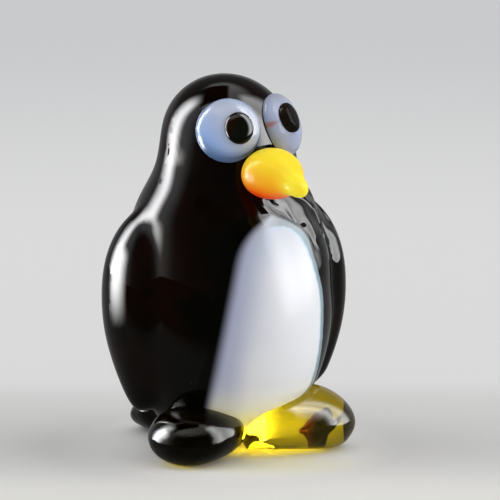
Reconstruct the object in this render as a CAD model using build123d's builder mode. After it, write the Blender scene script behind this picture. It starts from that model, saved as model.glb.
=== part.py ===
"""A solid glass penguin, made of gathers of coloured glass fused on to one dark body.

Millimetres. +Z is up and the bird looks along -Y. The origin is on the table, under the body's axis.
Each gather is one solid. Where two gathers touch, the later one is cut by the earlier, so they meet
face to face, as hot glass laid on glass does.
"""

from build123d import *
from math import cos, radians, sin, sqrt
import os

HALF_TURN = 180
SIDES = {"right": -1, "left": 1}

# Body: one dark gather, drawn in at the neck
total_height = 50.0
head_radius = 8.8
torso_half_width = 14.1
torso_front_reach = 13.5
torso_back_reach = 13.8
body_clearance_over_table = 1.2
crown_back_offset = 0.8

head_centre_height = total_height - head_radius

# Angles from the crown at which the round head is cut into sections
head_section_angles = (14, 28, 44, 62, 80)

# From the bottom up: height, then reach to the side, the front and the back, as shares of the torso's
torso_shares = (
    (0.000, 0.440, 0.395, 0.464),
    (0.050, 0.610, 0.572, 0.640),
    (0.120, 0.752, 0.730, 0.772),
    (0.210, 0.865, 0.876, 0.878),
    (0.320, 0.957, 0.974, 0.956),
    (0.440, 1.000, 1.000, 0.996),
    (0.560, 0.993, 0.958, 1.000),
    (0.665, 0.957, 0.875, 0.966),
    (0.735, 0.912, 0.800, 0.922),
    (0.790, 0.862, 0.735, 0.866),
    (0.855, 0.768, 0.670, 0.776),
    (0.925, 0.675, 0.642, 0.686),
)

# Belly: an opal gather, laid on the front, a little to the left, and thinning to nothing at its edge
belly_half_width = 8.1
belly_thickness = 1.0
belly_turn_angle = 6.5
belly_top_share = 0.8175

# From the bottom up: the torso section it lies on, then its half-width, thickness and turn
belly_shares = (
    (0, 0.54, 0.20, 0.00),
    (1, 0.77, 0.32, 0.00),
    (2, 0.92, 0.50, 0.00),
    (3, 1.00, 0.78, 0.00),
    (4, 0.975, 1.00, 0.08),
    (5, 0.945, 1.00, 0.30),
    (6, 0.885, 0.90, 0.55),
    (7, 0.760, 0.70, 0.80),
    (8, 0.545, 0.42, 1.00),
)

# Flippers: flat dark gathers that hang from the shoulders
flipper_tip_height = 5.6
flipper_top_height = 33.6
flipper_half_width = 5.8
flipper_half_thickness = 4.2
right_flipper_reach = 16.9
left_flipper_reach = 17.7
right_flipper_back_offset = 2.2
left_flipper_back_offset = 0.6
flipper_reach = {"right": right_flipper_reach, "left": left_flipper_reach}
flipper_back_offset = {"right": right_flipper_back_offset, "left": left_flipper_back_offset}

# From the tip up: height, reach from the axis, half-width and half-thickness
flipper_shares = (
    (0.050, 0.805, 0.400, 0.450),
    (0.120, 0.852, 0.610, 0.600),
    (0.220, 0.908, 0.785, 0.730),
    (0.360, 0.970, 0.920, 0.870),
    (0.560, 1.000, 1.000, 1.000),
    (0.740, 0.965, 0.920, 0.980),
    (0.870, 0.872, 0.700, 0.800),
    (0.945, 0.770, 0.440, 0.540),
)
flipper_tip_reach_share = 0.720
flipper_top_reach_share = 0.650

# Tail: a short dark gather that rests on the table
tail_reach = 18.5
tail_half_width = 5.5
tail_half_height = 3.7
tail_root_reach = 7.0
tail_sink_depth = 0.25

# From the root out: distance, half-width, half-height
tail_shares = (
    (0.00, 0.90, 1.00),
    (0.25, 1.00, 0.98),
    (0.50, 0.98, 0.86),
    (0.74, 0.84, 0.66),
    (0.91, 0.52, 0.42),
)

# Feet: clear yellow gathers, flat underneath
foot_tip_reach = 17.0
foot_root_reach = 1.8
right_foot_half_width = 6.0
left_foot_half_width = 6.5
right_foot_half_height = 3.75
left_foot_half_height = 4.2
foot_splay_angle = 56
foot_half_width = {"right": right_foot_half_width, "left": left_foot_half_width}
foot_half_height = {"right": right_foot_half_height, "left": left_foot_half_height}

# From the root out: distance, half-width, half-height and the height of the middle
foot_shares = (
    (0.050, 0.40, 0.50, 0.48),
    (0.160, 0.72, 0.80, 0.78),
    (0.320, 0.91, 0.96, 0.94),
    (0.510, 1.00, 1.00, 0.98),
    (0.680, 0.97, 0.98, 0.96),
    (0.800, 0.86, 0.87, 0.885),
    (0.900, 0.66, 0.67, 0.82),
    (0.967, 0.38, 0.38, 0.81),
)

# Toes: a dark gather inside each foot's tip
toe_root_share = 0.507
toe_centre_share = 0.921
toe_width_share = 0.77
toe_height_share = 0.78
toe_middle_share = 0.84
toe_section_angles = (14, 30, 50, 72, 90, 112)

# Eyes: opal discs pressed on the head, each with a dark dot
eye_radius = 4.25
eye_half_thickness = 2.15
eye_inset_depth = 0.85
eye_turn_angle = {"right": 31, "left": 37}
eye_lift_angle = 18
pupil_radius = 2.0
pupil_half_thickness = 0.75
pupil_inset_depth = 0.25
pupil_offset = 1.6
right_pupil_raised_height = 0.4
left_pupil_raised_height = 1.15
pupil_raised_height = {"right": right_pupil_raised_height, "left": left_pupil_raised_height}
lens_profile_angles = (0, 30, 60, 90, 120, 150, 180)

# Beak: an opaque gather, round at the root and drawn out to a blunt tip
beak_tip_reach = 18.95
beak_root_reach = 6.6
beak_half_width = 3.9
beak_half_height = 3.35
beak_drop_height = 2.8
beak_tip_drop_height = 1.0

# From the root out: distance, half-width, half-height, and how far it has dropped towards the tip
beak_shares = (
    (0.000, 0.360, 0.360, 0.00),
    (0.065, 0.650, 0.650, 0.00),
    (0.162, 0.866, 0.866, 0.00),
    (0.275, 0.980, 0.980, 0.00),
    (0.390, 0.995, 0.995, 0.00),
    (0.500, 0.915, 0.930, 0.03),
    (0.600, 0.745, 0.790, 0.12),
    (0.680, 0.550, 0.600, 0.28),
    (0.760, 0.390, 0.440, 0.52),
    (0.842, 0.320, 0.360, 0.78),
    (0.923, 0.282, 0.320, 0.95),
    (0.972, 0.190, 0.215, 1.00),
)


def along(start, end, share):
    """The value that lies a share of the way from start to end."""
    return start + (end - start) * share


def oval(plane, half_width, upper, lower):
    """An oval face on a plane, with its own reach above and below the plane's X axis."""
    with BuildSketch(plane, mode=Mode.PRIVATE) as section:
        with BuildLine():
            EllipticalCenterArc((0, 0), half_width, upper, start_angle=0, arc_size=HALF_TURN)
            EllipticalCenterArc((0, 0), half_width, lower, start_angle=HALF_TURN, arc_size=HALF_TURN)
        make_face()
    return section.sketch


def level_oval(height, side, front, back, lean=0):
    """An oval of the body at one height. The front half lies towards -Y, and a lean moves it back."""
    return oval(Plane((0, lean, height)), side, back, front)


def upright_plane(origin, outward):
    """A plane that faces outward over the table, with its Y axis up."""
    return Plane(origin=origin, x_dir=Vector(0, 0, 1).cross(outward), z_dir=outward)


def turned(side, turn, lift=0):
    """The direction that lies turn degrees from straight ahead, on one side, and lift degrees up."""
    return Vector(
        side * sin(radians(turn)) * cos(radians(lift)),
        -cos(radians(turn)) * cos(radians(lift)),
        sin(radians(lift)),
    )


# Body sections: the torso by its table, the head by its circle
torso_sections = [
    (
        along(body_clearance_over_table, head_centre_height, height),
        side * torso_half_width,
        front * torso_front_reach,
        back * torso_back_reach,
    )
    for height, side, front, back in torso_shares
]
body_faces = [level_oval(*section) for section in torso_sections]
for angle in reversed(head_section_angles):
    height = head_centre_height + head_radius * cos(radians(angle))
    reach = head_radius * sin(radians(angle))
    body_faces.append(level_oval(height, reach, reach, reach, crown_back_offset * cos(radians(angle))))
with BuildPart() as body:
    loft(sections=[*body_faces, Vertex(0, crown_back_offset, total_height)])
body.part.label = "body"


def belly_section(row, width_share, thickness_share, turn_share):
    """A section of the belly's gather. It crosses the torso's outline at the belly's half-width."""
    height, side, front, _ = torso_sections[row]
    reach = front + thickness_share * belly_thickness
    edge = width_share * belly_half_width
    torso_at_edge = front * sqrt(1 - (edge / side) ** 2)
    gather_side = edge / sqrt(1 - (torso_at_edge / reach) ** 2)
    ahead = turned(1, turn_share * belly_turn_angle)
    plane = Plane(origin=(0, 0, height), x_dir=Vector(0, 0, 1).cross(ahead), z_dir=(0, 0, 1))
    with BuildSketch(plane, mode=Mode.PRIVATE) as section:
        with BuildLine():
            EllipticalCenterArc((0, 0), gather_side, reach, start_angle=HALF_TURN, arc_size=HALF_TURN)
            Line((gather_side, 0), (-gather_side, 0))
        make_face()
    return section.sketch


belly_faces = [belly_section(*shares) for shares in belly_shares]
_, _, front_above_belly, _ = torso_sections[len(belly_shares)]
belly_top_reach = front_above_belly - belly_thickness
belly_top_height = along(body_clearance_over_table, head_centre_height, belly_top_share)
belly_top = turned(1, belly_turn_angle) * belly_top_reach + Vector(0, 0, belly_top_height)
with BuildPart() as belly_patch:
    loft(sections=[*belly_faces, Vertex(*belly_top)])
    add(body.part, mode=Mode.SUBTRACT)
belly_patch.part.label = "belly_patch"

flippers = {}
for side_name, side in SIDES.items():
    full_reach = flipper_reach[side_name]
    set_back = flipper_back_offset[side_name]
    flipper_faces = []
    for height, reach, width, thickness in flipper_shares:
        half_thickness = thickness * flipper_half_thickness
        centre = Vector(
            side * (reach * full_reach - half_thickness),
            set_back,
            along(flipper_tip_height, flipper_top_height, height),
        )
        half_width = width * flipper_half_width
        flipper_faces.append(oval(Plane(centre), half_thickness, half_width, half_width))
    tip = Vertex(side * flipper_tip_reach_share * full_reach, set_back, flipper_tip_height)
    top = Vertex(side * flipper_top_reach_share * full_reach, set_back, flipper_top_height)
    with BuildPart() as flipper:
        loft(sections=[tip, *flipper_faces, top])
        add(body.part, mode=Mode.SUBTRACT)
    flipper.part.label = f"flipper_{side_name}"
    flippers[side_name] = flipper

tail_faces = []
for distance, width, height in tail_shares:
    half_height = height * tail_half_height
    origin = Vector(0, along(tail_root_reach, tail_reach, distance), half_height - tail_sink_depth)
    plane = upright_plane(origin, Vector(0, 1, 0))
    tail_faces.append(oval(plane, width * tail_half_width, half_height, half_height))
tail_tip_height = tail_shares[-1][-1] * tail_half_height - tail_sink_depth
with BuildPart() as tail:
    loft(sections=[*tail_faces, Vertex(0, tail_reach, tail_tip_height)])
    split(bisect_by=Plane.XY, keep=Keep.TOP)
    add(body.part, mode=Mode.SUBTRACT)
tail.part.label = "tail"

toe_root_reach = along(foot_root_reach, foot_tip_reach, toe_root_share)
toe_centre_reach = along(foot_root_reach, foot_tip_reach, toe_centre_share)
toe_length = toe_centre_reach - toe_root_reach
feet = {}
toes = {}
for side_name, side in SIDES.items():
    outward = turned(side, foot_splay_angle)
    half_width = foot_half_width[side_name]
    half_height = foot_half_height[side_name]
    foot_faces = []
    for distance, width, height, middle in foot_shares:
        origin = outward * along(foot_root_reach, foot_tip_reach, distance)
        origin += Vector(0, 0, middle * half_height)
        plane = upright_plane(origin, outward)
        reach = height * half_height
        foot_faces.append(oval(plane, width * half_width, reach, reach))
    foot_ends = [
        Vertex(*(outward * reach + Vector(0, 0, foot_shares[row][-1] * half_height)))
        for reach, row in ((foot_root_reach, 0), (foot_tip_reach, -1))
    ]
    toe_height = Vector(0, 0, toe_middle_share * half_height)
    toe_faces = []
    for angle in toe_section_angles:
        size = sin(radians(angle))
        origin = outward * (toe_centre_reach - toe_length * cos(radians(angle)))
        plane = upright_plane(origin + toe_height, outward)
        reach = size * toe_height_share * half_height
        toe_faces.append(oval(plane, size * toe_width_share * half_width, reach, reach))
    toe_root = Vertex(*(outward * toe_root_reach + toe_height))
    with BuildPart() as whole_foot:
        loft(sections=[foot_ends[0], *foot_faces, foot_ends[1]])
        split(bisect_by=Plane.XY, keep=Keep.TOP)
        add(body.part, mode=Mode.SUBTRACT)
        add(belly_patch.part, mode=Mode.SUBTRACT)
    with BuildPart() as toe:
        loft(sections=[toe_root, *toe_faces])
        add(whole_foot.part, mode=Mode.INTERSECT)
    with BuildPart() as foot:
        add(whole_foot.part)
        add(toe.part, mode=Mode.SUBTRACT)
    foot.part.label = f"foot_{side_name}"
    toe.part.label = f"toe_{side_name}"
    feet[side_name] = foot
    toes[side_name] = toe


def lens(centre, outward, radius, half_thickness):
    """A round lens of glass, turned about the outward line through its centre."""
    side_on = Plane(origin=centre, x_dir=outward, z_dir=outward.cross(Vector(0, 0, 1)))
    profile = [
        (half_thickness * cos(radians(angle)), radius * sin(radians(angle)))
        for angle in lens_profile_angles
    ]
    with BuildPart() as turned_lens:
        with BuildSketch(side_on):
            with BuildLine():
                Spline(*profile, tangents=((0, 1), (0, -1)))
                Line(profile[-1], profile[0])
            make_face()
        revolve(axis=Axis(centre, outward))
    return turned_lens.part


head_centre = Vector(0, 0, head_centre_height)
eyes = {}
pupils = {}
for side_name, side in SIDES.items():
    eye_outward = turned(side, eye_turn_angle[side_name], eye_lift_angle)
    eye_centre = head_centre + eye_outward * (head_radius - eye_inset_depth)
    whole_eye = lens(eye_centre, eye_outward, eye_radius, eye_half_thickness)
    with BuildPart() as eye:
        add(whole_eye)
        add(body.part, mode=Mode.SUBTRACT)
    eye.part.label = f"eye_{side_name}"
    eyes[side_name] = eye

    # The dot sits square on the eye's curve, off centre towards the beak
    beakward = Vector(0, 0, 1).cross(eye_outward).normalized() * -side
    upward = eye_outward.cross(Vector(0, 0, 1).cross(eye_outward)).normalized()
    shift = beakward * pupil_offset + upward * pupil_raised_height[side_name]
    bulge = sqrt(1 - (shift.length / eye_radius) ** 2)
    seat = eye_centre + shift + eye_outward * (eye_half_thickness * bulge)
    pupil_outward = (shift * (1 / eye_radius**2) + eye_outward * (bulge / eye_half_thickness)).normalized()
    pupil_centre = seat - pupil_outward * pupil_inset_depth
    whole_pupil = lens(pupil_centre, pupil_outward, pupil_radius, pupil_half_thickness)
    with BuildPart() as pupil:
        add(whole_pupil)
        add(eye.part, mode=Mode.SUBTRACT)
    pupil.part.label = f"pupil_{side_name}"
    pupils[side_name] = pupil

beak_faces = []
for distance, width, height, drop in beak_shares:
    reach = along(beak_root_reach, beak_tip_reach, distance)
    origin = head_centre + Vector(0, -reach, -beak_drop_height - drop * beak_tip_drop_height)
    plane = upright_plane(origin, Vector(0, -1, 0))
    half_height = height * beak_half_height
    beak_faces.append(oval(plane, width * beak_half_width, half_height, half_height))
beak_tip_height = head_centre_height - beak_drop_height - beak_tip_drop_height
with BuildPart() as beak:
    loft(sections=[*beak_faces, Vertex(0, -beak_tip_reach, beak_tip_height)])
    add(body.part, mode=Mode.SUBTRACT)
    for eye in eyes.values():
        add(eye.part, mode=Mode.SUBTRACT)
beak.part.label = "beak"

pieces = [body, belly_patch, tail, beak]
for pair in (flippers, feet, toes, eyes, pupils):
    pieces.extend(pair.values())

os.makedirs("parts", exist_ok=True)
for piece in pieces:
    export_step(piece.part, f"parts/{piece.part.label}.step")
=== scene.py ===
# %% [markdown]
# A small lampworked penguin, fused from gathers of coloured glass.
#
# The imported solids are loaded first. They fix where every gather is, in metres, with +Z up and
# the bird looking along -Y.

# %% Load the frame
import math

import bpy
import numpy as np
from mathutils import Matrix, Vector, noise
from mathutils.bvhtree import BVHTree
from mathutils.kdtree import KDTree


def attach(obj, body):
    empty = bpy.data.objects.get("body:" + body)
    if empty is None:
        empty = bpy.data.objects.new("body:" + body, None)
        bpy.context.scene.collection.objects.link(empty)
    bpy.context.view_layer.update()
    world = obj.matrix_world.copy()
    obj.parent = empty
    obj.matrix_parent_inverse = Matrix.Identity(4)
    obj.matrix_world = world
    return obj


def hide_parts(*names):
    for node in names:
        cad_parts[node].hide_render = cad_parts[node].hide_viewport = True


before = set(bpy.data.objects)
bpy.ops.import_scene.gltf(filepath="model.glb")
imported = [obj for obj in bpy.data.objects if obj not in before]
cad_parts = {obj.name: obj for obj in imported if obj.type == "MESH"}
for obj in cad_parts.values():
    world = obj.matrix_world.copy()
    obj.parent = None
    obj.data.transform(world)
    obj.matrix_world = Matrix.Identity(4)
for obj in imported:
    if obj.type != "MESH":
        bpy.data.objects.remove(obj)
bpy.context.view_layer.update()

MM = 0.001
print("nodes:", sorted(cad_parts))

# %% [markdown]
# The camera stands at the penguin's right front and looks slightly down on it. Two directions are
# used all through the lighting: towards the camera, level with the table, and to the camera's right.
# The aim point is worked out from where the body's axis meets the table in the picture.

# %% Camera
VIEW_TURN = 32.0
VIEW_RISE = 10.0
VIEW_DISTANCE = 700 * MM
PICTURE_PIXELS = 500
PIXELS_PER_MM = 7.55
AXIS_FOOT_PIXEL = (227.5, 447.0)

turn = math.radians(VIEW_TURN)
rise = math.radians(VIEW_RISE)
to_camera = Vector((-math.sin(turn), -math.cos(turn), 0))
to_right = Vector((math.cos(turn), -math.sin(turn), 0))
up = Vector((0, 0, 1))

aside = (PICTURE_PIXELS / 2 - AXIS_FOOT_PIXEL[0]) / PIXELS_PER_MM * MM
above = (AXIS_FOOT_PIXEL[1] - PICTURE_PIXELS / 2) / PIXELS_PER_MM / math.cos(rise) * MM
aim = to_right * aside + up * above
eye_point = aim + (to_camera * math.cos(rise) + up * math.sin(rise)) * VIEW_DISTANCE

camera_data = bpy.data.cameras.new("camera")
camera = bpy.data.objects.new("camera", camera_data)
bpy.context.scene.collection.objects.link(camera)
camera.location = eye_point
camera.rotation_euler = (aim - eye_point).to_track_quat("-Z", "Y").to_euler()
field = PICTURE_PIXELS / PIXELS_PER_MM * MM
camera_data.lens = camera_data.sensor_width * VIEW_DISTANCE / field
camera_data.clip_start = 10 * MM
camera_data.clip_end = 20000 * MM
bpy.context.scene.camera = camera
print("lens in mm:", round(camera_data.lens, 1))

# %% [markdown]
# Shader maths is easier to read as a sum than as a chain of nodes. A Wire wraps one output socket,
# and adding or multiplying wires adds the Math nodes. A Board is one node tree with one method that
# adds any other node.

# %% Wires
class Wire:
    """An output socket that takes part in sums and products."""

    def __init__(self, board, socket):
        self.board = board
        self.socket = socket

    def _math(self, operation, *values):
        return self.board.node("ShaderNodeMath", {"operation": operation}, *values)

    def __add__(self, other):
        return self._math("ADD", self, other)

    def __radd__(self, other):
        return self._math("ADD", other, self)

    def __sub__(self, other):
        return self._math("SUBTRACT", self, other)

    def __rsub__(self, other):
        return self._math("SUBTRACT", other, self)

    def __mul__(self, other):
        return self._math("MULTIPLY", self, other)

    def __rmul__(self, other):
        return self._math("MULTIPLY", other, self)

    def __truediv__(self, other):
        return self._math("DIVIDE", self, other)

    def __pow__(self, other):
        return self._math("POWER", self, other)

    def __abs__(self):
        return self._math("ABSOLUTE", self)

    def smooth(self, low, high):
        """0 below low, 1 above high, and an even slope between."""
        return self.board.node(
            "ShaderNodeMapRange",
            {"interpolation_type": "SMOOTHSTEP"},
            Value=self, **{"From Min": low, "From Max": high},
        )

    def root(self):
        return self._math("SQRT", self)

    def least(self, other):
        return self._math("MINIMUM", self, other)

    def most(self, other):
        return self._math("MAXIMUM", self, other)

# %% Boards
class Board:
    """One node tree."""

    def __init__(self, tree):
        self.tree = tree
        self.tree.nodes.clear()

    def node(self, kind, settings=None, *values, output=0, inputs=None, **named):
        """Adds a node, sets it up, joins or sets its inputs, and returns one output."""
        made = self.tree.nodes.new(kind)
        for name, value in (settings or {}).items():
            setattr(made, name, value)
        for key, value in [*enumerate(values), *(inputs or {}).items(), *named.items()]:
            socket = made.inputs[key]
            if isinstance(value, Wire):
                self.tree.links.new(value.socket, socket)
            else:
                socket.default_value = value
        return Wire(self, made.outputs[output]) if len(made.outputs) else None

    def mix(self, factor, first, second):
        """A blend of two colours."""
        return self.node(
            "ShaderNodeMix", {"data_type": "RGBA"}, output=2, inputs={0: factor, 6: first, 7: second}
        )

    def where(self):
        """Object coordinates in millimetres, as three wires."""
        place = self.node("ShaderNodeTexCoord", output=3)
        parts = self.tree.nodes.new("ShaderNodeSeparateXYZ")
        self.tree.links.new(place.socket, parts.inputs[0])
        return [Wire(self, part) / MM for part in parts.outputs]

    def surface(self, inputs):
        """Makes a Principled surface the output of the tree."""
        made = self.node("ShaderNodeBsdfPrincipled", None, inputs=inputs)
        self.node("ShaderNodeOutputMaterial", None, made)

# %% Colours and new materials
def rgb(red, green, blue):
    """A colour with full opacity."""
    return (red, green, blue, 1)


def glass(name):
    """A new material with an empty board."""
    material = bpy.data.materials.new(name)
    material.use_nodes = True
    print("finish:", name)
    return material, Board(material.node_tree)

# %% [markdown]
# The body, flippers and tail are black glass, which is really a red-brown so deep that it looks black.
# Glass has no texture of its own. What the eye reads is the mirrored room, slightly bent by the waves
# that tools and flame leave, and a few seeds, which are tiny bubbles. So the colour is almost even, the
# roughness is low, and a bump carries the waves. At the far shoulder the glass was swirled, and there
# the waves are short and steep.

# %% Seeds, clouds and waves
def to_the_right_of(board):
    """How far a point is to the right of the axis, seen by the camera, in millimetres."""
    across, along, _ = board.where()
    return across * to_right.x + along * to_right.y


def seeds(board, spacing, radius, share):
    """Tiny round bubbles: 1 inside one, 0 elsewhere. Only a share of the cells has one."""
    place = board.node("ShaderNodeTexCoord", output=3)
    cells = {"voronoi_dimensions": "3D", "feature": "F1"}
    inputs = {"Vector": place, "Scale": 1 / (spacing * MM), "Randomness": 1.0}
    distance = board.node("ShaderNodeTexVoronoi", cells, inputs=inputs, output=0)
    tint = board.node("ShaderNodeTexVoronoi", cells, inputs=inputs, output=1)
    number = board.node("ShaderNodeSeparateColor", None, tint, output=0)
    spot = 1 - distance.smooth(radius / spacing * 0.6, radius / spacing)
    return spot * number.smooth(1 - share, 1 - share + 0.02)


def clouds(board, size, detail=1.0):
    """Soft noise with patches of about this size, in millimetres."""
    place = board.node("ShaderNodeTexCoord", output=3)
    inputs = {"Vector": place, "Scale": 1 / (size * MM), "Detail": detail}
    return board.node("ShaderNodeTexNoise", None, inputs=inputs)


def hand_worked(board, size, rise):
    """The slight waves that tools and flame leave in a glass surface."""
    inputs = {"Strength": 1.0, "Distance": rise * MM, "Height": clouds(board, size)}
    return board.node("ShaderNodeBump", None, inputs=inputs)

# %% Black glass
GLASS_IOR = 1.5
GLASS_SHEEN = 0.16
BODY_WAVES = 0.10
SWIRL_BOTTOM = 26.5
SWIRL_TOP = 37.0
SWIRL_START = 2.0
SWIRL_RISE = 0.30


def shoulder_waves(board):
    """Ripples where the black was swirled at the far shoulder and under the beak, 0 elsewhere."""
    _, _, height = board.where()
    side = to_the_right_of(board)
    here = height.smooth(SWIRL_BOTTOM, SWIRL_BOTTOM + 3.5) * (1 - height.smooth(SWIRL_TOP - 2.5, SWIRL_TOP))
    here = here * side.smooth(SWIRL_START, SWIRL_START + 2.5)
    place = board.node("ShaderNodeTexCoord", output=3)
    settings = {"wave_type": "BANDS", "bands_direction": "DIAGONAL"}
    inputs = {"Vector": place, "Scale": 0.12 / MM, "Distortion": 9.0, "Detail": 1.0, "Detail Scale": 1.2}
    return board.node("ShaderNodeTexWave", settings, inputs=inputs, output=1) * here


def black_finish(name):
    """Black glass. It is really a very deep red-brown, and a few seeds show in it."""
    material, board = glass(name)
    height = clouds(board, 14) * BODY_WAVES + shoulder_waves(board) * SWIRL_RISE
    bump = board.node("ShaderNodeBump", None, inputs={"Strength": 1.0, "Distance": MM, "Height": height})
    depth = clouds(board, 9, 2.0).smooth(0.42, 0.68)
    colour = board.mix(depth, rgb(0.0012, 0.0013, 0.0006), rgb(0.006, 0.0016, 0.0006))
    colour = board.mix(seeds(board, 4.2, 0.16, 0.5) * 0.5, colour, rgb(0.16, 0.15, 0.12))
    inputs = {
        "Base Color": colour, "Roughness": 0.03, "IOR": GLASS_IOR, "Specular IOR Level": GLASS_SHEEN,
        "Normal": bump,
    }
    board.surface(inputs)
    return material


dark = black_finish("black_glass")

# %% [markdown]
# The belly is opal glass laid over black. Where it thins it turns blue and lets the black through, so
# its left side fades out softly, and its right side, where the gather is thick, ends in a clean line.
# A painted edge would look like enamel. So the colour runs from black through blue to milk with the
# distance in from an edge. At the right that is the opal's own rim, which the mesh keeps as an
# attribute. At the left it is a slanting line that curls in at the top. Light is painted in as well:
# the milk is painted lighter low down and darker near the top, and low down a painted yellow light
# and a faint painted glow stand for the light that the yellow feet throw into the opal.

# %% Opal of the belly
BELLY_SHEEN = 0.10
FADING_EDGE_AT = -3.2
FADING_EDGE_LEAN = 0.2
FADING_EDGE_CURL = 6


def belly_finish():
    """Opal over black: it thins to blue and then to nothing at its left, and ends sharply at its right."""
    material, board = glass("belly_opal")
    inside = board.node("ShaderNodeAttribute", {"attribute_name": "from_rim"}, output=2)
    _, _, height = board.where()
    side = to_the_right_of(board)
    right_side = side.smooth(1, 8)
    curl = ((height - 26) / 8).most(0) ** 3
    fading_edge = FADING_EDGE_AT + (height - 8) * FADING_EDGE_LEAN + curl * FADING_EDGE_CURL
    clean_edge = inside / (0.12 + 0.88 * (1 - right_side)) + 2.2 - 1.2 * right_side
    depth = (side - fading_edge).least(clean_edge)
    patches = clouds(board, 11, 2.0)
    thin = board.mix(right_side, rgb(0.46, 0.49, 0.66), rgb(0.58, 0.76, 0.87))
    thick = board.mix(patches.smooth(0.35, 0.65), rgb(0.52, 0.56, 0.76), rgb(0.66, 0.66, 0.77))
    # Painted light: the milk is painted lighter low down, where less light reaches the belly.
    thick = board.mix(1 - height.smooth(12, 24), thick, rgb(0.84, 0.84, 0.90))
    thick = board.mix(right_side * 0.85, thick, rgb(0.94, 0.96, 1.0))
    # Painted shade: the milk is painted darker near the top, to hold down the light mirrored there.
    thick = board.mix(height.smooth(25, 32) * 0.9, thick, rgb(0.60, 0.67, 0.77))
    black = rgb(0.0014, 0.0014, 0.0007)
    colour = board.mix(depth.smooth(0.0, 1.9), black, thin)
    colour = board.mix(depth.smooth(1.2, 6.0), colour, thick)
    # Painted light from the feet: pale cream low down, and painted yellow light at the very bottom.
    painted_feet_light = (1 - height.smooth(3.5, 13.0)) * depth.smooth(0.3, 1.6)
    colour = board.mix(painted_feet_light * 0.6, colour, rgb(0.98, 0.96, 0.86))
    painted_yellow_light = (1 - height.smooth(3.0, 7.5)) * depth.smooth(0.3, 1.6)
    colour = board.mix(painted_yellow_light * 0.8, colour, rgb(0.98, 0.91, 0.27))
    painted_feet_glow = (1 - height.smooth(4.0, 11.0)) * depth.smooth(0.3, 1.8)
    inputs = {
        "Base Color": colour, "Roughness": 0.03 + 0.25 * depth.smooth(0.5, 3.0), "IOR": GLASS_IOR,
        "Specular IOR Level": BELLY_SHEEN, "Normal": hand_worked(board, 14, 0.10),
        # Painted glow: low down the belly gives off a little yellow light of its own.
        "Emission Color": board.mix(painted_feet_glow, rgb(0, 0, 0), rgb(0.26, 0.24, 0.07)),
        "Emission Strength": 1.0,
    }
    board.surface(inputs)
    return material


belly_opal = belly_finish()

# %% [markdown]
# The eyes are discs of opal pressed on the head. Most of their colour depends on how thick the glass
# is, so it is worked out from the disc's own middle and radius: milk in the middle, blue where it thins
# at the lower left, and a fine dark line near the rim, where the disc's edge bends the black behind it.
# Their top is painted darker, as painted shade that holds down the light the dome mirrors there.

# %% Opal of the eyes
def facing_of(node_name):
    """The middle of a lens, the direction it faces, and its radius, in millimetres."""
    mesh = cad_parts[node_name].data
    flat = np.empty(len(mesh.vertices) * 3, dtype=np.float32)
    mesh.vertices.foreach_get("co", flat)
    points = flat.reshape(-1, 3) / MM
    middle = points.mean(axis=0)
    _, axes = np.linalg.eigh(np.cov((points - middle).T))
    facing = axes[:, 0] * (-1 if axes[1, 0] > 0 else 1)
    from_axis = points - middle - np.outer((points - middle) @ facing, facing)
    return Vector(middle.tolist()), Vector(facing.tolist()), float(np.linalg.norm(from_axis, axis=1).max())


lenses = {name: facing_of(name) for name in ("eye_right", "eye_left", "pupil_right", "pupil_left")}
for name, (middle, facing, radius) in lenses.items():
    print(name, [round(v, 2) for v in middle], [round(v, 3) for v in facing], round(radius, 2))


def eye_finish(name, node_name, stained, sheen, milky, clear, blue, painted_shade_top, rim, foot):
    """Opal in an eye: bluer where it thins to the rim, and most of all low down at the left."""
    material, board = glass(name)
    middle, facing, radius = lenses[node_name]
    place = board.node("ShaderNodeTexCoord", output=3)
    inputs = {0: place, 1: tuple(middle * MM)}
    offset = board.node("ShaderNodeVectorMath", {"operation": "SUBTRACT"}, inputs=inputs)

    def along(vector):
        inputs = {0: offset, 1: tuple(vector)}
        return board.node("ShaderNodeVectorMath", {"operation": "DOT_PRODUCT"}, inputs=inputs, output=1) / MM

    sideways = up.cross(facing).normalized()
    upright = facing.cross(sideways)
    over, aloft = along(sideways), along(upright)
    from_axis = (over * over + aloft * aloft).root() / radius
    blue_side = ((over * -0.75 - aloft * 0.6) / radius).smooth(-0.25, 0.95)
    lower = (aloft * -1 / radius).smooth(0.1, 0.95)
    milk = board.mix(clouds(board, 4, 2.0).smooth(0.35, 0.7), clear, milky)
    # Painted shade: the top of the eye is painted darker.
    milk = board.mix((aloft / radius).smooth(0.2, 1.0) * 0.6, milk, painted_shade_top)
    colour = board.mix(blue_side, milk, blue)
    colour = board.mix(from_axis.smooth(0.72, 1.0) * 0.6, colour, rim)
    colour = board.mix(from_axis.smooth(0.55, 1.0) * lower * 0.8, colour, foot)
    stain = 1 - (abs(over / radius + 0.86) + abs(aloft / radius - 0.02) * 1.6).smooth(0.05, 0.22)
    colour = board.mix(stain * stained, colour, rgb(0.42, 0.13, 0.04))
    line = from_axis.smooth(0.86, 0.89) * (1 - from_axis.smooth(0.915, 0.94)) * (1 - blue_side)
    colour = board.mix(line * 0.9, colour, rgb(0.05, 0.07, 0.16))
    inputs = {"Base Color": colour, "Roughness": 0.04, "IOR": GLASS_IOR, "Specular IOR Level": sheen}
    board.surface(inputs)
    return material


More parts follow.
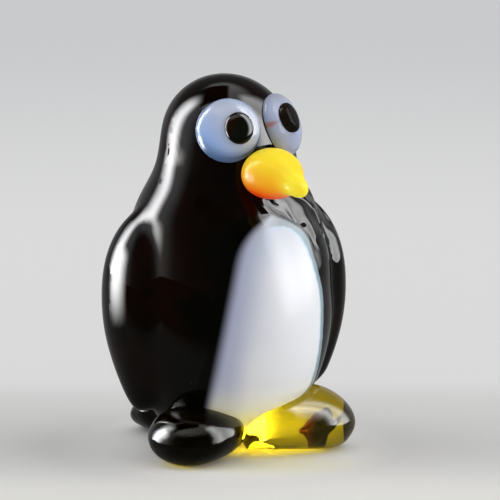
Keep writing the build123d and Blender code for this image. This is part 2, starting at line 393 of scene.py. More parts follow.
eye_finishes = {
    "right": eye_finish(
        "eye_opal_right", "eye_right", stained=0.0, sheen=GLASS_SHEEN,
        milky=rgb(0.62, 0.64, 0.74), clear=rgb(0.52, 0.58, 0.74), blue=rgb(0.34, 0.52, 0.93),
        painted_shade_top=rgb(0.28, 0.40, 0.57), rim=rgb(0.22, 0.33, 0.54), foot=rgb(0.06, 0.12, 0.28),
    ),
    "left": eye_finish(
        "eye_opal_left", "eye_left", stained=0.7, sheen=0.06,
        milky=rgb(0.52, 0.57, 0.72), clear=rgb(0.47, 0.54, 0.74), blue=rgb(0.37, 0.43, 0.62),
        painted_shade_top=rgb(0.17, 0.17, 0.21), rim=rgb(0.34, 0.38, 0.52), foot=rgb(0.42, 0.47, 0.62),
    ),
}

# %% [markdown]
# The beak is orange glass that runs to yellow on top and to red underneath. It is a little cloudy, so
# light spreads inside it, and it shines softly. A faint painted glow in its own colour stands in for
# light coming through it. The feet are clear yellow glass. A ray that asks only for shadow passes
# through them tinted, so that the table under them gets the yellow light that real glass would throw there.

# %% Beak and yellow glass
YELLOW_IOR = 1.48


def beak_colours():
    """Orange glass that runs to yellow on top and at the tip, and to red underneath."""
    material, board = glass("beak_glass_painted_glow")
    _, along, height = board.where()
    rise = height + (along + 8) * -0.18 + clouds(board, 5, 1.0) * 1.2 - 0.6
    colour = board.mix(rise.smooth(35.9, 38.7), rgb(1.0, 0.06, 0.006), rgb(1.0, 0.40, 0.015))
    colour = board.mix(rise.smooth(37.8, 41.8), colour, rgb(1.0, 0.74, 0.03))
    tip = (along * -1).smooth(14.5, 17.5)
    colour = board.mix(tip, colour, rgb(1.0, 0.80, 0.04))
    inputs = {
        "Base Color": colour, "Roughness": 0.3, "IOR": GLASS_IOR, "Specular IOR Level": 0.04,
        "Coat Weight": 0.07, "Coat Roughness": 0.06,
        # Painted glow: the beak gives off a little light in its own colour.
        "Emission Color": colour, "Emission Strength": 0.14,
        "Subsurface Weight": 0.4, "Subsurface Radius": (1.0, 0.25, 0.04), "Subsurface Scale": 2.0 * MM,
    }
    board.surface(inputs)
    return material


def yellow_finish(name, through, sheen, roughness):
    """Clear yellow glass. Its shadow lets yellow light through to the table."""
    material, board = glass(name)
    colour = board.mix(seeds(board, 3.0, 0.22, 0.35), rgb(0.92, 0.68, 0.014), rgb(0.95, 0.85, 0.40))
    inputs = {
        "Base Color": colour, "Roughness": roughness, "IOR": YELLOW_IOR, "Transmission Weight": through,
        "Specular Tint": rgb(sheen, sheen, sheen), "Specular IOR Level": GLASS_SHEEN,
        "Normal": hand_worked(board, 5, 0.10),
    }
    surface = board.node("ShaderNodeBsdfPrincipled", None, inputs=inputs)
    clear = board.node("ShaderNodeBsdfTransparent", None, rgb(0.95, 0.80, 0.25))
    shadow = board.node("ShaderNodeLightPath", output=1)
    mixed = board.node("ShaderNodeMixShader", None, shadow, surface, clear)
    board.node("ShaderNodeOutputMaterial", None, mixed)
    return material


beak_finish = beak_colours()
yellow = {
    "right": yellow_finish("yellow_skin", through=1.0, sheen=0.21, roughness=0.07),
    "left": yellow_finish("yellow_clear", through=0.97, sheen=0.29, roughness=0.0),
}

# %% [markdown]
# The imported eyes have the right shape: shallow lenses pressed on the head. So they stay, and take their
# finishes in the slots that they already have. Every other solid is replaced further down by a piece
# with a truer shape.

# %% Finishes of the eyes
for side, finish in eye_finishes.items():
    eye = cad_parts["eye_" + side]
    for slot in eye.material_slots:
        slot.material = finish
    print(eye.name, "faces:", len(eye.data.polygons))

# %% [markdown]
# Hot gathers of glass melt into one another, so there is no crease where a flipper, the tail or the
# belly meets the body: the black runs on in one skin with a soft hollow at each join. A boolean union
# alone would leave a sharp crease. So copies of these solids are remeshed together as one skin, and
# the skin is relaxed, most of all near the joins. Then it is cut back into one piece for each solid,
# and each keeps the skin's shading, so that no line shows where they meet.

# %% Copies of the black solids
VOXEL = 0.26 * MM


def pick(*pieces):
    """Leaves only these pieces selected, with the first one active."""
    bpy.ops.object.select_all(action="DESELECT")
    for piece in pieces:
        piece.select_set(True)
    bpy.context.view_layer.objects.active = pieces[0]


def copy_of(node_name, new_name):
    """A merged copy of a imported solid, with its own mesh."""
    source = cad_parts[node_name]
    piece = source.copy()
    piece.data = source.data.copy()
    piece.name = new_name
    bpy.context.scene.collection.objects.link(piece)
    pick(piece)
    bpy.ops.object.mode_set(mode="EDIT")
    bpy.ops.mesh.select_all(action="SELECT")
    bpy.ops.mesh.remove_doubles(threshold=0.002 * MM)
    bpy.ops.object.mode_set(mode="OBJECT")
    return piece


BLACK_NODES = ["body", "belly_patch", "flipper_right", "flipper_left", "tail"]
sources = {name: copy_of(name, "source_" + name) for name in BLACK_NODES}
print({name: len(piece.data.polygons) for name, piece in sources.items()})

# %% Where each solid's surface is
def surface_of(piece):
    """A search tree of a piece's faces."""
    corners = [v.co.copy() for v in piece.data.vertices]
    return BVHTree.FromPolygons(corners, [tuple(p.vertices) for p in piece.data.polygons])


surfaces = {name: surface_of(piece) for name, piece in sources.items()}
print("surfaces to measure from:", len(surfaces))


def gap_to(name, point):
    """How far a point is from the surface of one of the solids."""
    return surfaces[name].find_nearest(point)[3]

# %% [markdown]
# The copies are joined by unions and then remeshed by voxels, which gives one even skin. Walls that
# touch the body are sunk into it first, so that each union overlaps and leaves no slit.

# %% One remeshed skin
SINK = 1.0 * MM
TOUCHING = 0.02 * MM

skin = sources["body"]
skin.name = "skin"
for name in BLACK_NODES[1:]:
    piece = sources[name]
    for vertex in piece.data.vertices:
        _, outward, _, away = surfaces["body"].find_nearest(vertex.co)
        if away < TOUCHING:
            vertex.co -= outward * SINK

    union = skin.modifiers.new("union", "BOOLEAN")
    union.operation = "UNION"
    union.solver = "MANIFOLD"
    union.object = piece
    pick(skin)
    bpy.ops.object.modifier_apply(modifier=union.name)
    print(name, "joined, faces:", len(skin.data.polygons))
pick(*[sources[name] for name in BLACK_NODES[1:]])
bpy.ops.object.delete()

pick(skin)
skin.data.remesh_voxel_size = VOXEL
skin.data.use_remesh_preserve_volume = False
bpy.ops.object.voxel_remesh()
print("skin faces:", len(skin.data.polygons))

# %% [markdown]
# A union leaves a sharp crease where two gathers meet, and hot glass leaves a soft hollow. Smoothing
# all of it that much would round the whole bird off. So each vertex gets a weight from how near it is
# to two solids at once, and only the joins are smoothed for many turns. Fewer turns all over take out
# the ripples that the voxels leave, which a mirror finish would show.

# %% Measuring and smoothing a mesh
WEIGHT_STEPS = 10


def grow(value):
    """0 at nothing, 1 from one, with a soft start and end."""
    value = np.clip(value, 0, 1)
    return value * value * (3 - 2 * value)


def coordinates(mesh):
    """All the vertices of a mesh in millimetres."""
    flat = np.empty(len(mesh.vertices) * 3, dtype=np.float32)
    mesh.vertices.foreach_get("co", flat)
    return flat.reshape(-1, 3) / MM


def distances(points):
    """For each solid, how far each point is from its surface, in millimetres."""
    return {
        name: np.array([gap_to(name, Vector(point) * MM) for point in points.tolist()]) / MM
        for name in BLACK_NODES
    }


def relax(piece, weights, turns):
    """Smooths a piece, as far as each vertex's weight says."""
    group = piece.vertex_groups.new(name="relax")
    for step in range(1, WEIGHT_STEPS + 1):
        chosen = np.nonzero(np.rint(weights * WEIGHT_STEPS) == step)[0]
        group.add(chosen.tolist(), step / WEIGHT_STEPS, "REPLACE")
    smooth = piece.modifiers.new("relax", "SMOOTH")
    smooth.factor = 0.5
    smooth.iterations = turns
    smooth.vertex_group = group.name
    pick(piece)
    bpy.ops.object.modifier_apply(modifier=smooth.name)
    piece.vertex_groups.clear()

# %% Relaxing the skin
JOIN_REACH = 1.6
TURNS_AT_JOINS = 120
TURNS_ALL_OVER = 40

far = distances(coordinates(skin.data))
trunk = np.minimum(far["body"], far["belly_patch"])
near_join = 1 - np.maximum(far["body"], far["belly_patch"]) / JOIN_REACH
for name in ("flipper_right", "flipper_left", "tail"):
    near_join = np.maximum(near_join, 1 - np.maximum(trunk, far[name]) / JOIN_REACH)
relax(skin, grow(near_join), TURNS_AT_JOINS)
relax(skin, np.ones(len(trunk)), TURNS_ALL_OVER)
print("vertices near a join:", int((near_join > 0).sum()))

# %% [markdown]
# The skin is one mesh, but the penguin is five gathers, so every vertex is given to the solid that it
# lies nearest to. Averaging the distances along the edges first gives clean, even borders. The belly
# reaches a little past its solid, to leave room for its fading edge.

# %% Which solid each face belongs to
FADING_REACH = 1.9
CLEAN_REACH = 0.45


def spread(mesh, values, turns):
    """Averages a value along the edges of a mesh."""
    pairs = np.empty(len(mesh.edges) * 2, dtype=np.int32)
    mesh.edges.foreach_get("vertices", pairs)
    one, other = pairs.reshape(-1, 2).T
    links = np.bincount(np.concatenate([one, other]), minlength=len(values))
    for _ in range(turns):
        total = np.bincount(one, values[other], len(values)) + np.bincount(other, values[one], len(values))
        values = (values + total / links) / 2
    return values


far = distances(coordinates(skin.data))
trunk = np.minimum(far["body"], far["belly_patch"])
owner = np.zeros(len(trunk), dtype=int)
for place, name in enumerate(("flipper_right", "flipper_left", "tail"), 1):
    owner[spread(skin.data, trunk - far[name], 4) > 0] = place
to_the_right = coordinates(skin.data) @ np.array(to_right)
belly_reach = np.interp(to_the_right, [1, 6], [FADING_REACH, CLEAN_REACH])
on_belly = spread(skin.data, far["belly_patch"], 2) < belly_reach
owner[(owner == 0) & on_belly] = 4
names = ["body", "flipper_right", "flipper_left", "tail", "belly_patch"]
print({name: int((owner == place).sum()) for place, name in enumerate(names)})

# %% [markdown]
# The belly's finish needs to know how far in from the opal's rim a point lies. The rim is where the two
# solids are equally near. A search tree of the rim's points gives the distance, and the mesh keeps it
# as an attribute that the finish reads.

# %% How far the opal reaches in from its rim
AT_THE_RIM = 0.15
MEASURED_REACH = 4.0

inside = spread(skin.data, far["body"] - far["belly_patch"], 2)
points = coordinates(skin.data)
rim_points = points[np.abs(inside) < AT_THE_RIM]
rim = KDTree(len(rim_points))
for place, point in enumerate(rim_points.tolist()):
    rim.insert(point, place)
rim.balance()
from_rim = np.full(len(points), -MEASURED_REACH)
for place in np.nonzero(far["belly_patch"] < MEASURED_REACH)[0].tolist():
    away = rim.find(points[place].tolist())[2]
    from_rim[place] = away if inside[place] > 0 else -away
from_rim = spread(skin.data, from_rim, 4)
kept = skin.data.attributes.new("from_rim", "FLOAT", "POINT")
kept.data.foreach_set("value", from_rim.astype(np.float32))
print("deepest opal in mm:", round(float(from_rim.max()), 2), "rim points:", len(rim_points))

# %% [markdown]
# The far foot runs in under the belly, and its yellow glass laps over the belly's lower right. So the
# underside of the skin is drawn in there, most of all low down. The tail is pressed out on the table,
# and gets wider there.

# %% Drawing in the underside
TUCK_TOP = 9.5
TUCK_MOST = 0.44
TAIL_SPLAY = 0.3


def tuck(point):
    """Draws a point of the skin's underside in towards the axis, on the side of the far foot."""
    around = math.degrees(math.atan2(point.x, -point.y))
    side = float(grow((around + 45) / 40) * (1 - grow((around - 85) / 30)))
    low = 1 - float(grow(point.z / MM / TUCK_TOP))
    keep = 1 - TUCK_MOST * side * low
    return Vector((point.x * keep, point.y * keep, point.z))


def splay(point):
    """Widens the tail, as it is pressed out on the table."""
    back = float(grow((point.y / MM - 5) / 6) * (1 - grow((abs(point.x) / MM - 7) / 3)))
    low = 1 - float(grow((point.z / MM - 4) / 5))
    return Vector((point.x * (1 + TAIL_SPLAY * back * low), point.y, point.z))


moved = [vertex for vertex in skin.data.vertices if vertex.co.z < TUCK_TOP * MM]
for vertex in moved:
    vertex.co = splay(tuck(vertex.co))
skin.data.update()
print("vertices drawn in or out:", len(moved))

# %% [markdown]
# The skin is cut by its faces. A face goes to the solid that most of its corners belong to. The normals
# of the whole skin are kept on the mesh first, because shading worked out for a cut piece would break
# at its edge.

# %% Cutting the skin into its pieces
skin_normals = np.empty(len(skin.data.vertices) * 3, dtype=np.float32)
skin.data.vertex_normals.foreach_get("vector", skin_normals)
kept = skin.data.attributes.new("skin_normal", "FLOAT_VECTOR", "POINT")
kept.data.foreach_set("vector", skin_normals)
belongs = skin.data.attributes.new("belongs", "INT", "FACE")
corners = [tuple(face.vertices) for face in skin.data.polygons]
face_owner = np.array([np.bincount(owner[list(face)], minlength=len(names)).argmax() for face in corners])
belongs.data.foreach_set("value", face_owner)

pieces = {}
for place, name in reversed(list(enumerate(names))):
    if name == "body":
        piece = skin
        pick(piece)
    else:
        pick(skin)
        wanted = np.empty(len(skin.data.polygons), dtype=np.int32)
        skin.data.attributes["belongs"].data.foreach_get("value", wanted)
        bpy.ops.object.mode_set(mode="EDIT")
        bpy.ops.mesh.select_mode(type="FACE")
        bpy.ops.mesh.select_all(action="DESELECT")
        bpy.ops.object.mode_set(mode="OBJECT")
        skin.data.polygons.foreach_set("select", wanted == place)
        bpy.ops.object.mode_set(mode="EDIT")
        bpy.ops.mesh.separate(type="SELECTED")
        bpy.ops.object.mode_set(mode="OBJECT")
        piece = next(o for o in bpy.context.selected_objects if o != skin)
    piece.name = "black_" + name if name != "belly_patch" else "belly_opal"
    pieces[name] = piece
    print(piece.name, "faces:", len(piece.data.polygons))

# %% [markdown]
# A cut leaves open edges, and glass has none. So each piece gets a short hidden skirt that turns
# inwards and a cap that closes it. Then it takes the skin's normals back as its own, and no line shows
# where two pieces meet.

# %% Closing each piece
SKIRT = 0.6 * MM


def normals_of(mesh):
    """The skin's normals that a piece has kept, one for each vertex."""
    flat = np.empty(len(mesh.vertices) * 3, dtype=np.float32)
    mesh.attributes["skin_normal"].data.foreach_get("vector", flat)
    return flat.reshape(-1, 3)


for name, piece in pieces.items():
    outside = len(piece.data.polygons)
    pick(piece)
    bpy.ops.object.mode_set(mode="EDIT")
    bpy.ops.mesh.select_mode(type="EDGE")
    bpy.ops.mesh.select_all(action="DESELECT")
    bpy.ops.mesh.select_non_manifold(
        extend=False, use_wire=False, use_multi_face=False, use_non_contiguous=False, use_verts=False
    )
    bpy.ops.mesh.extrude_edges_move()
    bpy.ops.object.mode_set(mode="OBJECT")
    inward = -normals_of(piece.data)
    chosen = [vertex.index for vertex in piece.data.vertices if vertex.select]
    for place in chosen:
        piece.data.vertices[place].co += Vector(inward[place].tolist()) * SKIRT
    bpy.ops.object.mode_set(mode="EDIT")
    bpy.ops.mesh.select_all(action="SELECT")
    bpy.ops.mesh.fill_holes(sides=0)
    bpy.ops.object.mode_set(mode="OBJECT")
    print(name, "faces:", outside, "rim:", len(chosen), "all:", len(piece.data.polygons))
    piece.data.polygons.foreach_set("use_smooth", [True] * len(piece.data.polygons))
    piece.data.normals_split_custom_set_from_vertices(normals_of(piece.data).tolist())
    used_up = ["skin_normal", "belongs"] + (["from_rim"] if name != "belly_patch" else [])
    for attribute in used_up:
        piece.data.attributes.remove(piece.data.attributes[attribute])
    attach(piece, "root")
    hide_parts(name)
    piece.data.materials.clear()
    piece.data.materials.append(belly_opal if name == "belly_patch" else dark)

# %% [markdown]
# Each foot is a gather of clear yellow glass with black glass inside it. The near foot is black from
# the body to the tip, and the yellow is only a skin over it. The far foot is clear, and the black
# closes its tip and leaves a ragged blot behind it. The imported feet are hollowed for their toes, and
# in clear glass that hollow would show as a second surface. So each foot is drawn out again as one
# closed gather, and the black inside fills a share of the same sections. Each row of the table below
# is one section: its place along the foot, then its width, height and middle as shares.

# %% Sections of a foot
FOOT_TURN = 56.0
FOOT_ROOT = 1.8
FOOT_TIP = 17.0
FOOT_HALF = {"right": (6.0, 3.75), "left": (6.5, 4.2)}
FOOT_SECTIONS = np.array([
    (0.000, 0.00, 0.00, 0.48), (0.050, 0.40, 0.50, 0.48), (0.160, 0.72, 0.80, 0.78),
    (0.320, 0.91, 0.96, 0.94), (0.510, 1.00, 1.00, 0.98), (0.680, 0.97, 0.98, 0.96),
    (0.800, 0.86, 0.87, 0.885), (0.900, 0.66, 0.67, 0.82), (0.967, 0.38, 0.38, 0.81),
    (1.000, 0.00, 0.00, 0.81),
])
foot_ways = {
    side: Vector((sign * math.sin(math.radians(FOOT_TURN)), -math.cos(math.radians(FOOT_TURN)), 0))
    for side, sign in (("right", -1), ("left", 1))
}


def curve_through(places, values):
    """A smooth curve through points, as a function of the place."""
    slopes = np.gradient(values, places)

    def at(place):
        row = int(np.clip(np.searchsorted(places, place) - 1, 0, len(places) - 2))
        span = places[row + 1] - places[row]
        part = (place - places[row]) / span
        start, end = values[row], values[row + 1]
        rest = (slopes[row] * (1 - part) - slopes[row + 1] * part) * span
        turning = (end - start) * (1 - 2 * part)
        return start + (end - start) * part + part * (1 - part) * (rest - turning)

    return at


# The squares of the widths run straight into the round ends
wide_square = curve_through(FOOT_SECTIONS[:, 0], FOOT_SECTIONS[:, 1] ** 2)
tall_square = curve_through(FOOT_SECTIONS[:, 0], FOOT_SECTIONS[:, 2] ** 2)
middle_at = curve_through(FOOT_SECTIONS[:, 0], FOOT_SECTIONS[:, 3])
print("foot sections:", len(FOOT_SECTIONS))

# %% [markdown]
# A ball is a natural start for a gather: it is closed, and its rings are already sections. Each ring
# is moved to its place along the foot and scaled to the section there.

# %% Balls to draw out
def new_ball(name, segments, rings):
    """A round ball of radius 1."""
    bpy.ops.object.select_all(action="DESELECT")
    bpy.ops.mesh.primitive_uv_sphere_add(segments=segments, ring_count=rings, radius=1, location=(0, 0, 0))
    piece = bpy.context.object
    piece.name = name
    return piece


def around_axis(ball):
    """Which way a point of a ball lies from its upright axis, or nothing at a pole."""
    around = Vector((ball.x, ball.y))
    return around.normalized() if around.length > 1e-5 else Vector((0, 0))


def smooth_outside(piece):
    """Turns all faces outwards and shades them smoothly."""
    pick(piece)
    bpy.ops.object.mode_set(mode="EDIT")
    bpy.ops.mesh.select_all(action="SELECT")
    bpy.ops.mesh.normals_make_consistent(inside=False)
    bpy.ops.object.mode_set(mode="OBJECT")
    bpy.ops.object.shade_smooth()
    print(piece.name, "faces:", len(piece.data.polygons))

# %% The yellow feet
SOLE = 0.02
ROOT_LEAN = {"right": 0.0, "left": 2.6}


def drawn_ball(name, side, start, end, share_at, round_off=True):
    """A ball drawn out inside a foot. share_at says how much of the section it fills at a place."""
    piece = new_ball(name, 80, 72)
    way = foot_ways[side]
    sideways = up.cross(way)
    half_width, half_height = FOOT_HALF[side]
    for vertex in piece.data.vertices:
        ball = vertex.co.copy()
        along = start + (ball.z + 1) / 2 * (end - start)
        part = (along - FOOT_ROOT) / (FOOT_TIP - FOOT_ROOT)
        around = around_axis(ball)
        share = share_at(along, around) * (math.sqrt(max(0, 1 - ball.z ** 4)) if round_off else 1)
        wide = math.sqrt(max(0, wide_square(part))) * half_width * share
        tall = math.sqrt(max(0, tall_square(part))) * half_height * share
        lean = ROOT_LEAN[side] * (1 - float(grow((along - 5) / 8)))
        place = way * along + sideways * (around.x * wide - lean)
        place += up * (middle_at(part) * half_height + around.y * tall + lean * 0.15)
        vertex.co = place * MM
    smooth_outside(piece)
    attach(piece, "root")
    return piece


def rest_on_table(piece, height):
    """Flattens the underside of a piece at a height in millimetres."""
    for vertex in piece.data.vertices:
        vertex.co.z = max(vertex.co.z, height * MM)


for side in ("right", "left"):
    foot = drawn_ball("yellow_foot_" + side, side, FOOT_ROOT, FOOT_TIP, lambda along, around: 1.0, False)
    rest_on_table(foot, SOLE)
    foot.data.materials.append(yellow[side])
    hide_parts("foot_" + side)

# %% [markdown]
# In the near foot the black leaves only a thin skin of yellow. In the far foot it caps the tip, and a
# ragged blot behind the cap sinks towards the sole. Noise drags the blot's edge about, because a clean
# shape would look like a bead.

# %% Black glass inside the feet
BLOT_SINK = {"right": 0.0, "left": 1.05}
CORE_REST = 0.25


def near_share(along, around):
    """The near foot's core leaves a thin skin of yellow, thicker at the sole."""
    return 0.95 - 0.10 * max(0, -around.y)


def far_share(along, around):
    """The far foot's core caps the tip and ends behind it in a ragged blot."""
    cap = float(grow((along - 14.2) / 1.3))
    ragged = noise.noise(Vector((along * 1.3, around.x * 1.5, around.y * 1.5))) * 0.14
    blot = 0.06 + 0.22 * float(grow((along - 9.4) / 1.6)) * float(1 - grow((along - 11.6) / 1.4)) + ragged
    blot *= 1.1 - 0.65 * abs(around.y)
    return max(0.04, blot + (0.95 - blot) * cap)


near_core = drawn_ball("near_foot_core", "right", 3.6, 16.7, near_share)
far_core = drawn_ball("far_foot_core", "left", 8.8, 16.7, far_share)
for core, side in ((near_core, "right"), (far_core, "left")):
    for vertex in core.data.vertices:
        back = float(1 - grow((vertex.co.dot(foot_ways[side]) / MM - 12.5) / 2))
        vertex.co.z -= BLOT_SINK[side] * back * MM
    rest_on_table(core, CORE_REST)
    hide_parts("toe_" + side)

# %% [markdown]
# The black inside has no shine of its own, because yellow glass touches it all over. Its thin end lets
# light through and looks red-brown.

# %% Finish of the black inside the feet
def core_finish(name, side, brown_from, brown_to):
    """Black glass whose thin end is red-brown."""
    material, board = glass(name)
    across, forward, _ = board.where()
    way = foot_ways[side]
    along = across * way.x + forward * way.y + clouds(board, 2.5, 2.0) * 3 - 1.5
    brown = rgb(0.20, 0.045, 0.004)
    black = rgb(0.0015, 0.0012, 0.0006)
    colour = board.mix(along.smooth(brown_from, brown_to), brown, black)
    inputs = {"Base Color": colour, "Roughness": 0.6, "IOR": GLASS_IOR, "Specular IOR Level": 0.0}
    board.surface(inputs)
    return material


near_core.data.materials.append(core_finish("near_core_glass", "right", 2.5, 6.0))
far_core.data.materials.append(core_finish("far_core_glass", "left", 8.0, 11.5))

# %% [markdown]
# The beak is one hot gather pulled to a blunt tip that droops a little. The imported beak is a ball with
# a short nub. Here its sections are drawn out along the bird's line of sight, so that the top runs
# straight to the tip, and only the underside has a notch. Each row of the table is one section: its
# place, half its width, half its height and how high its middle is, in millimetres.

# %% Beak
BEAK_SECTIONS = np.array([
    (7.75, 0.00, 0.00, 38.25), (8.20, 2.40, 2.00, 38.25), (9.20, 3.58, 2.95, 38.25),
    (10.60, 4.08, 3.32, 38.25), (12.40, 3.80, 3.16, 38.22), (14.00, 3.05, 2.62, 38.12),
    (15.20, 2.30, 2.02, 37.92), (16.40, 1.68, 1.55, 37.62), (17.60, 1.32, 1.30, 37.30),
    (18.40, 0.92, 0.95, 37.12), (18.93, 0.00, 0.00, 37.05),
])
beak_wide = curve_through(BEAK_SECTIONS[:, 0], BEAK_SECTIONS[:, 1] ** 2)
beak_tall = curve_through(BEAK_SECTIONS[:, 0], BEAK_SECTIONS[:, 2] ** 2)
beak_middle = curve_through(BEAK_SECTIONS[:, 0], BEAK_SECTIONS[:, 3])

beak = new_ball("hot_beak", 96, 96)
root, tip = BEAK_SECTIONS[0, 0], BEAK_SECTIONS[-1, 0]
for vertex in beak.data.vertices:
    ball = vertex.co.copy()
    along = root + (ball.z + 1) / 2 * (tip - root)
    around = around_axis(ball)
    wide = math.sqrt(max(0, beak_wide(along)))
    tall = math.sqrt(max(0, beak_tall(along)))
    vertex.co = Vector((around.x * wide, -along, beak_middle(along) + around.y * tall)) * MM
smooth_outside(beak)
beak.data.materials.append(beak_finish)
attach(beak, "root")
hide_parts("beak")

# %% [markdown]
# The pupils are drops of black glass pressed flat on the eyes. A lens shape would mirror the whole
# room as a bright spot in its middle, and the real ones have a flat face with a rounded edge, where
# the light makes a thin crescent. So a ball is flattened, with its height held up almost to the edge.

# %% Pupils
PUPIL_HALF = 0.75
FAR_PUPIL_SHEEN = 0.015


def pupil(name, side, wide, tall, flat, slant, drop):
    """A pressed drop. flat is the power that holds its face level, and slant thins its right side."""
    middle, facing, _ = lenses["pupil_" + side]
    piece = new_ball(name, 72, 48)
    sideways = up.cross(facing).normalized()
    upright = facing.cross(sideways)
    for vertex in piece.data.vertices:
        ball = vertex.co.copy()
        far_out = min(1, math.hypot(ball.x, ball.y))
        lift = math.copysign((1 - far_out ** flat) ** 0.5, ball.z) if far_out < 1 else 0
        thick = PUPIL_HALF * (1 - slant * ball.x)
        place = middle + sideways * ball.x * wide + upright * (ball.y * tall - drop) + facing * lift * thick
        vertex.co = place * MM
    smooth_outside(piece)
    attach(piece, "root")
    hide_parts("pupil_" + side)
    return piece


near_pupil = pupil("near_pupil", "right", wide=1.9, tall=2.15, flat=3.2, slant=0.0, drop=0.4)
far_pupil = pupil("far_pupil", "left", wide=1.95, tall=2.05, flat=5.0, slant=0.7, drop=0.25)

# %% [markdown]
# The pupils' black is painted warm at the upper left, as a painted glow where light comes through the
# thin glass at its edge, and painted cool grey-green at the right, as a painted reflection. One colour
# would look painted on.

# %% Finish of the pupils
def pupil_finish(name, side, painted_glow_tint, painted_reflection_tint, sheen):
    """Black glass that is red-brown at its upper left, and grey-green towards its right edge."""
    material, board = glass(name)
    middle = lenses["pupil_" + side][0]
    turned = to_the_right_of(board) - middle.dot(to_right)
    _, _, height = board.where()
    upper_left = ((height - middle.z) * 0.5 - turned).smooth(-0.4, 2.0)
    # Painted light: a warm glow at the upper left and a grey-green painted reflection at the right.
    colour = board.mix(upper_left, painted_reflection_tint, painted_glow_tint)
    inputs = {
        "Base Color": colour, "Roughness": 0.03, "IOR": GLASS_IOR, "Specular IOR Level": sheen,
        "Normal": hand_worked(board, 3, 0.03),
    }
    board.surface(inputs)
    return material


near_pupil.data.materials.append(pupil_finish(
    "near_pupil_glass", "right", rgb(0.016, 0.005, 0.002), rgb(0.004, 0.005, 0.003), GLASS_SHEEN
))
far_pupil.data.materials.append(pupil_finish(
    "far_pupil_glass", "left", rgb(0.016, 0.008, 0.005), rgb(0.009, 0.008, 0.007), FAR_PUPIL_SHEEN
))

# %% [markdown]
# The penguin stands on a plain pale sheet. A plane with one colour would look flat, so its tone is
# painted: a greyer band under and behind the bird is painted shade, the paper right round the bird is
# painted paler as painted light against the bird's own shadow, the paper is paler in front, and greyer
# again far off. Between the feet a little painted yellow light stands where light comes through them.
# In mirrored rays the floor is painted almost black, most of all in front.

# %% Floor
FLOOR_SIZE = 6000 * MM
PALE_GREY = rgb(0.615, 0.62, 0.632)


def paper_tone():
    """The floor: a greyer band under and behind the bird, pale round it, and greyer far off."""
    material, board = glass("paper")
    across, along, _ = board.where()
    from_bird = (across * across + along * along).root()
    near = across * to_camera.x + along * to_camera.y
    aside = across * to_right.x + along * to_right.y
    tone = board.mix(near.smooth(0, 30), rgb(0.74, 0.74, 0.74), rgb(0.775, 0.77, 0.74))
    # Painted shade: a greyer band under and behind the bird.
    painted_shade_band = near.smooth(-46, -26) * (1 - near.smooth(4, 30))
    tone = board.mix(painted_shade_band, tone, rgb(0.66, 0.66, 0.655))
    # Painted light: the paper right round the bird is painted paler, against the bird's own shadow.
    tone = board.mix((1 - from_bird.smooth(13, 25)) * 0.9, tone, rgb(0.88, 0.88, 0.875))
    tone = board.mix(from_bird.smooth(150, 420), tone, PALE_GREY)
    # Painted light: a small yellow spot in front of the feet, where light comes through them.
    from_painted_glow = ((aside - 7) * (aside - 7) * 0.4 + (near - 12) * (near - 12)).root()
    tone = board.mix((1 - from_painted_glow.smooth(1, 9)) * 0.6, tone, rgb(0.74, 0.72, 0.49))
    # Painted reflection: mirrored rays see the floor nearly black, most of all in front.
    in_mirrors = board.node("ShaderNodeLightPath", output=3)
    tone = board.mix(in_mirrors * (0.55 + 0.4 * near.smooth(24, 60)), tone, rgb(0.02, 0.02, 0.02))
    inputs = {"Base Color": tone, "Roughness": 0.8, "Specular IOR Level": 0.0}
    board.surface(inputs)
    return material


bpy.ops.object.select_all(action="DESELECT")
bpy.ops.mesh.primitive_plane_add(size=FLOOR_SIZE, location=(0, 0, 0))
floor = bpy.context.object
floor.name = "floor"
floor.data.materials.append(paper_tone())
print("floor:", [round(side, 2) for side in floor.dimensions], "m")

# %% [markdown]
# Glass shows its surroundings, so the studio matters more than the lamps. Round the bird stand a tall
# lamp at the left, a large soft box at the right and a pale ceiling with a dark gap over the table,
# and the side where the camera stands is dark. Real lamps could be placed for all of them. The world
# gives the same mirror images with no noise. It sends one picture to mirrored rays, an even soft light
# to everything else, and a plain pale grey to the camera. A direction's bearing and height are in
# degrees, as seen from the bird. The bearing is 0 at the camera and grows to the camera's right.

# %% World directions
world = bpy.data.worlds.new("studio")
bpy.context.scene.world = world
world.use_nodes = True
sky = Board(world.node_tree)
direction = sky.node("ShaderNodeTexCoord", output=0)


def towards(vector):
    """How far the direction points along a vector."""
    return sky.node(
        "ShaderNodeVectorMath", {"operation": "DOT_PRODUCT"}, direction, tuple(vector), output=1
    )


ahead = towards(to_camera)
right = towards(to_right)
high = towards(up)
bearing = sky.node("ShaderNodeMath", {"operation": "ARCTAN2"}, right, ahead) * (180 / math.pi)
height = sky.node("ShaderNodeMath", {"operation": "ARCSINE"}, high) * (180 / math.pi)


def between(value, low, high_end, soft_low, soft_high):
    """1 between two limits, with a soft edge at each."""
    return value.smooth(low - soft_low, low + soft_low) * (
        1 - value.smooth(high_end - soft_high, high_end + soft_high)
    )

# %% Lamps of the world
STRIP_LIGHT = 38
GLOW_LIGHT = 2.2
BOX_LIGHT = 30
BOX_FALL = 18
CEILING_LIGHT = 3.2
FRONT_LIGHT = 0.09
SOFT_LEVEL = 0.76

left_strip = between(bearing, -116, -95, 15, 10) * between(height, -6, 52, 8, 12)
left_glow = between(bearing, -118, -66, 14, 16) * between(height, -6, 52, 4, 8)
right_box = bearing.smooth(44, 72) * (1 - bearing.smooth(108, 134)) * between(height, -4, 70, 4, 6)
overhead = high.smooth(0.75, 0.9)
hole = between(right, -0.59, 0.07, 0.04, 0.04) * between(ahead, -0.5, 0.1, 0.04, 0.04)
front = between(bearing, -50, 44, 24, 14)
front_gap = between(bearing, -30, 28, 6, 6) * between(height, 33, 60, 4, 4)
room = 0.36 - 0.2 * height.smooth(10, 28)

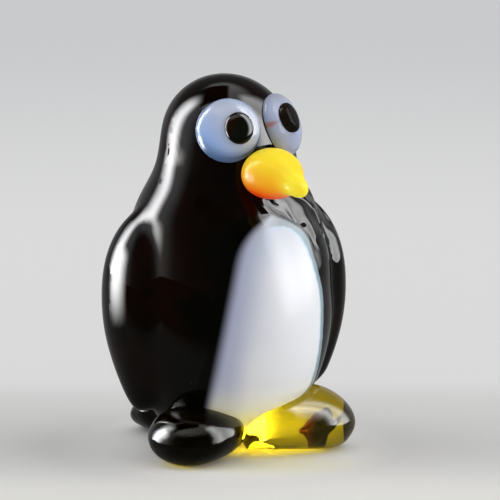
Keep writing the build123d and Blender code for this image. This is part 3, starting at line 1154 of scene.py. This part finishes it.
box_light = BOX_LIGHT - BOX_FALL * bearing.smooth(74, 92)
mirrored = (
    left_strip * STRIP_LIGHT + left_glow * GLOW_LIGHT + right_box * box_light
    + overhead * (1 - hole) * (CEILING_LIGHT - CEILING_LIGHT * right)
    + room * (1 - front) * (1 - overhead) + FRONT_LIGHT * front * (1 - front_gap) * (1 - overhead)
)
level = SOFT_LEVEL + left_glow * 1.05 + right_box * 1.1 - 0.27 * front

# %% Which rays see which picture
is_camera, is_glossy, is_through = [sky.node("ShaderNodeLightPath", output=place) for place in (0, 3, 6)]
looked_at = (is_glossy + is_through).least(1)
lit = sky.node("ShaderNodeBackground", None, rgb(1, 1, 1), level)
shown = sky.node("ShaderNodeBackground", None, rgb(0.98, 0.985, 1), mirrored)
pale = sky.node("ShaderNodeBackground", None, PALE_GREY, 1.0)
mixed = sky.node("ShaderNodeMixShader", None, looked_at, lit, shown)
mixed = sky.node("ShaderNodeMixShader", None, is_camera, mixed, pale)
sky.node("ShaderNodeOutputWorld", None, mixed)

bpy.context.scene.view_settings.view_transform = "Standard"
print("world nodes:", len(world.node_tree.nodes))

# %% [markdown]
# The crisp window on the near flipper comes from a bright card that stands close to the bird, as a
# photographer would place it. The card is a plane that shines, brightest in its middle and clear at
# its ends, so that its edges leave no mark in the glass. The camera doesn't see it.

# %% Card
def card(name, side_reach, near_end, far_end, low, top, radiance, fade, side_fade):
    """A shining card at one side of the bird, upright and level with the line of sight."""
    bpy.ops.object.select_all(action="DESELECT")
    bpy.ops.mesh.primitive_plane_add(size=1, location=(0, 0, 0))
    piece = bpy.context.object
    piece.name = name
    corners = [(far_end, low), (near_end, low), (far_end, top), (near_end, top)]
    for vertex, (forward, height) in zip(piece.data.vertices, corners):
        vertex.co = to_right * side_reach + to_camera * forward + up * height
    material, board = glass(name + "_light")
    across, along, height = board.where()
    forward = across * to_camera.x + along * to_camera.y
    shine = height.smooth(low / MM, low / MM + fade) * (1 - height.smooth(top / MM - fade / 2, top / MM))
    shine = shine * forward.smooth(far_end / MM, far_end / MM + side_fade)
    shine = shine * (1 - forward.smooth(near_end / MM - side_fade, near_end / MM))
    emission = board.node("ShaderNodeEmission", None, rgb(1, 1, 1), radiance)
    clear = board.node("ShaderNodeBsdfTransparent", None)
    mixed = board.node("ShaderNodeMixShader", None, shine, clear, emission)
    board.node("ShaderNodeOutputMaterial", None, mixed)
    piece.data.materials.append(material)
    piece.visible_camera = False
    piece.visible_diffuse = False
    piece.visible_shadow = False
    print(name, "in mm:", round((near_end - far_end) / MM), "by", round((top - low) / MM))


card(
    "left_card", side_reach=-46 * MM, near_end=25 * MM, far_end=-13 * MM, low=5 * MM, top=46 * MM,
    radiance=56, fade=22, side_fade=18,
)
